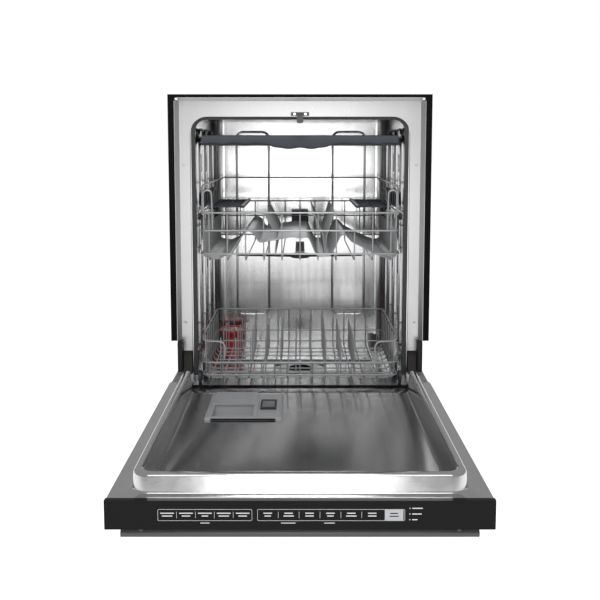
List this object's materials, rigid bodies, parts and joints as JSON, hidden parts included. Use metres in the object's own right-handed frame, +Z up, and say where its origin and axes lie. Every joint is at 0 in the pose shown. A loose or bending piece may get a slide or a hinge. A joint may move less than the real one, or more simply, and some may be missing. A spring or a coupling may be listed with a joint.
{
  "type": "built-in dishwasher",
  "caption": "Built-in dishwasher with a drop-down door, sliding wire racks and cutlery tray, spray arms and a stainless tub.",
  "frame": {"origin": "centre of the footprint on the floor, with the door lying open", "axes": "+Z up, +Y towards the back of the cabinet, +X to the right seen from the front"},
  "size_m": [0.6, 1.27, 0.86],
  "materials": {
    "stainless": "brushed stainless sheet",
    "bright_stainless": "bright pressed stainless",
    "trim_black": "matt black trim",
    "gasket": "dark seal",
    "black_plastic": "black moulded plastic",
    "control_black": "glossy black panel",
    "slate_plastic": "slate blue-grey plastic",
    "rack_wire": "nylon-coated grey wire",
    "red_plastic": "red moulded plastic",
    "grey_plastic": "light grey plastic",
    "galvanised": "galvanised sheet",
    "felt": "sound-deadening felt",
    "board_green": "circuit board"
  },
  "bodies": {
    "cabinet": {"tub": "stainless", "front_frame": "bright_stainless", "frame_header": "bright_stainless", "perimeter_trim": "trim_black", "tub_gasket": "gasket", "casing_panels": "galvanised", "back_panel": "galvanised", "insulation": "felt", "base_pan": "galvanised", "toe_kick": "black_plastic", "leveling_legs": "black_plastic", "hinge_covers": "black_plastic", "hinge_brackets": "galvanised", "latch_strike": "bright_stainless", "sump": "black_plastic", "coarse_filter": "slate_plastic", "fine_filter": "stainless", "circulation_pump": "black_plastic", "drain_pump": "black_plastic", "heater": "bright_stainless", "inlet_valve": "grey_plastic", "drain_outlet": "black_plastic", "junction_box": "galvanised", "feed_conduit": "slate_plastic", "counterbalance_springs": "bright_stainless", "rack_rails": "bright_stainless", "nozzle_base": "red_plastic"},
    "door": {"door_outer_panel": "stainless", "door_liner": "bright_stainless", "control_panel": "control_black", "control_board": "board_green", "door_insulation": "felt", "door_handle": "stainless", "door_latch": "black_plastic", "hinge_arms": "galvanised", "dispenser_body": "grey_plastic"},
    "start_pad": {"start_pad": "grey_plastic"},
    "detergent_lid": {"detergent_lid": "grey_plastic"},
    "rinse_aid_cap": {"rinse_aid_cap": "slate_plastic"},
    "lower_rack": {"lower_rack_frame": "rack_wire", "lower_rack_floor": "rack_wire", "wheel_brackets": "slate_plastic"},
    "fold_tines": {"fold_tines": "rack_wire"},
    "wheels_1": {"lower_wheels_1": "slate_plastic"},
    "wheels_2": {"lower_wheels_2": "slate_plastic"},
    "wheels_3": {"lower_wheels_3": "slate_plastic"},
    "wheels_4": {"lower_wheels_4": "slate_plastic"},
    "upper_rack": {"upper_rack_frame": "rack_wire", "upper_rack_floor": "rack_wire", "height_adjusters": "slate_plastic", "upper_feed_tube": "slate_plastic"},
    "cup_shelf_left": {"cup_shelf_left": "slate_plastic"},
    "cup_shelf_right": {"cup_shelf_right": "slate_plastic"},
    "middle_spray_arm": {"middle_spray_arm": "slate_plastic"},
    "third_rack": {"cutlery_tray": "slate_plastic", "tray_handle": "slate_plastic"},
    "lower_spray_arm": {"lower_spray_arm": "bright_stainless"},
    "nozzle_head": {"nozzle_head": "red_plastic"},
    "float": {"float_stem": "grey_plastic"}
  },
  "joints": [
    {"name": "door_hinge", "type": "hinge", "parent": "cabinet", "child": "door", "pos_m": [0, 0.04, 0.189], "axis": [-1, 0, 0], "range_deg": [0, 90]},
    {"name": "start_press", "type": "slide", "parent": "door", "child": "start_pad", "axis": [0, 1, 0], "range_m": [0, 0.0008], "stiffness_N_per_m": 900},
    {"name": "detergent_lid_slide", "type": "slide", "parent": "door", "child": "detergent_lid", "axis": [0, 1, 0], "range_m": [-0.08, 0]},
    {"name": "rinse_aid_cap_hinge", "type": "hinge", "parent": "door", "child": "rinse_aid_cap", "pos_m": [0, -0.079, 0.19265], "axis": [-1, 0, 0], "range_deg": [0, 85]},
    {"name": "lower_rack_slide", "type": "slide", "parent": "cabinet", "child": "lower_rack", "axis": [0, 1, 0], "range_m": [-0.4, 0]},
    {"name": "fold_tines_hinge", "type": "hinge", "parent": "lower_rack", "child": "fold_tines", "pos_m": [0.13, 0.2, 0.2085], "axis": [0, 1, 0], "range_deg": [0, 78]},
    {"name": "wheel_spin_1", "type": "hinge", "parent": "lower_rack", "child": "wheels_1", "pos_m": [0, 0.082, 0.2018], "axis": [1, 0, 0], "range_deg": [0, 1530]},
    {"name": "wheel_spin_2", "type": "hinge", "parent": "lower_rack", "child": "wheels_2", "pos_m": [0, 0.17867, 0.2018], "axis": [1, 0, 0], "range_deg": [0, 1530]},
    {"name": "wheel_spin_3", "type": "hinge", "parent": "lower_rack", "child": "wheels_3", "pos_m": [0, 0.27533, 0.2018], "axis": [1, 0, 0], "range_deg": [0, 1530]},
    {"name": "wheel_spin_4", "type": "hinge", "parent": "lower_rack", "child": "wheels_4", "pos_m": [0, 0.372, 0.2018], "axis": [1, 0, 0], "range_deg": [0, 1530]},
    {"name": "upper_rack_slide", "type": "slide", "parent": "cabinet", "child": "upper_rack", "axis": [0, 1, 0], "range_m": [-0.42, 0]},
    {"name": "cup_shelf_left_hinge", "type": "hinge", "parent": "upper_rack", "child": "cup_shelf_left", "pos_m": [-0.218, 0.3, 0.598], "axis": [0, -1, 0], "range_deg": [0, 72]},
    {"name": "cup_shelf_right_hinge", "type": "hinge", "parent": "upper_rack", "child": "cup_shelf_right", "pos_m": [0.218, 0.3, 0.598], "axis": [0, 1, 0], "range_deg": [0, 72]},
    {"name": "middle_spray_arm_spin", "type": "hinge", "parent": "upper_rack", "child": "middle_spray_arm", "pos_m": [0, 0.33, 0.4595], "axis": [0, 0, 1], "continuous": true},
    {"name": "third_rack_slide", "type": "slide", "parent": "cabinet", "child": "third_rack", "axis": [0, 1, 0], "range_m": [-0.4, 0]},
    {"name": "lower_spray_arm_spin", "type": "hinge", "parent": "cabinet", "child": "lower_spray_arm", "pos_m": [0, 0.34, 0.1745], "axis": [0, 0, 1], "continuous": true},
    {"name": "nozzle_head_spin", "type": "hinge", "parent": "cabinet", "child": "nozzle_head", "pos_m": [-0.196, 0.548, 0.205], "axis": [0, 0, 1], "continuous": true},
    {"name": "float_lift", "type": "slide", "parent": "cabinet", "child": "float", "axis": [0, 0, 1], "range_m": [0, 0.008]}
  ],
  "couplings": [
    {"joint": "wheel_spin_1", "follows": "lower_rack_slide", "rad_per_m": -66.667},
    {"joint": "wheel_spin_2", "follows": "lower_rack_slide", "rad_per_m": -66.667},
    {"joint": "wheel_spin_3", "follows": "lower_rack_slide", "rad_per_m": -66.667},
    {"joint": "wheel_spin_4", "follows": "lower_rack_slide", "rad_per_m": -66.667}
  ]
}
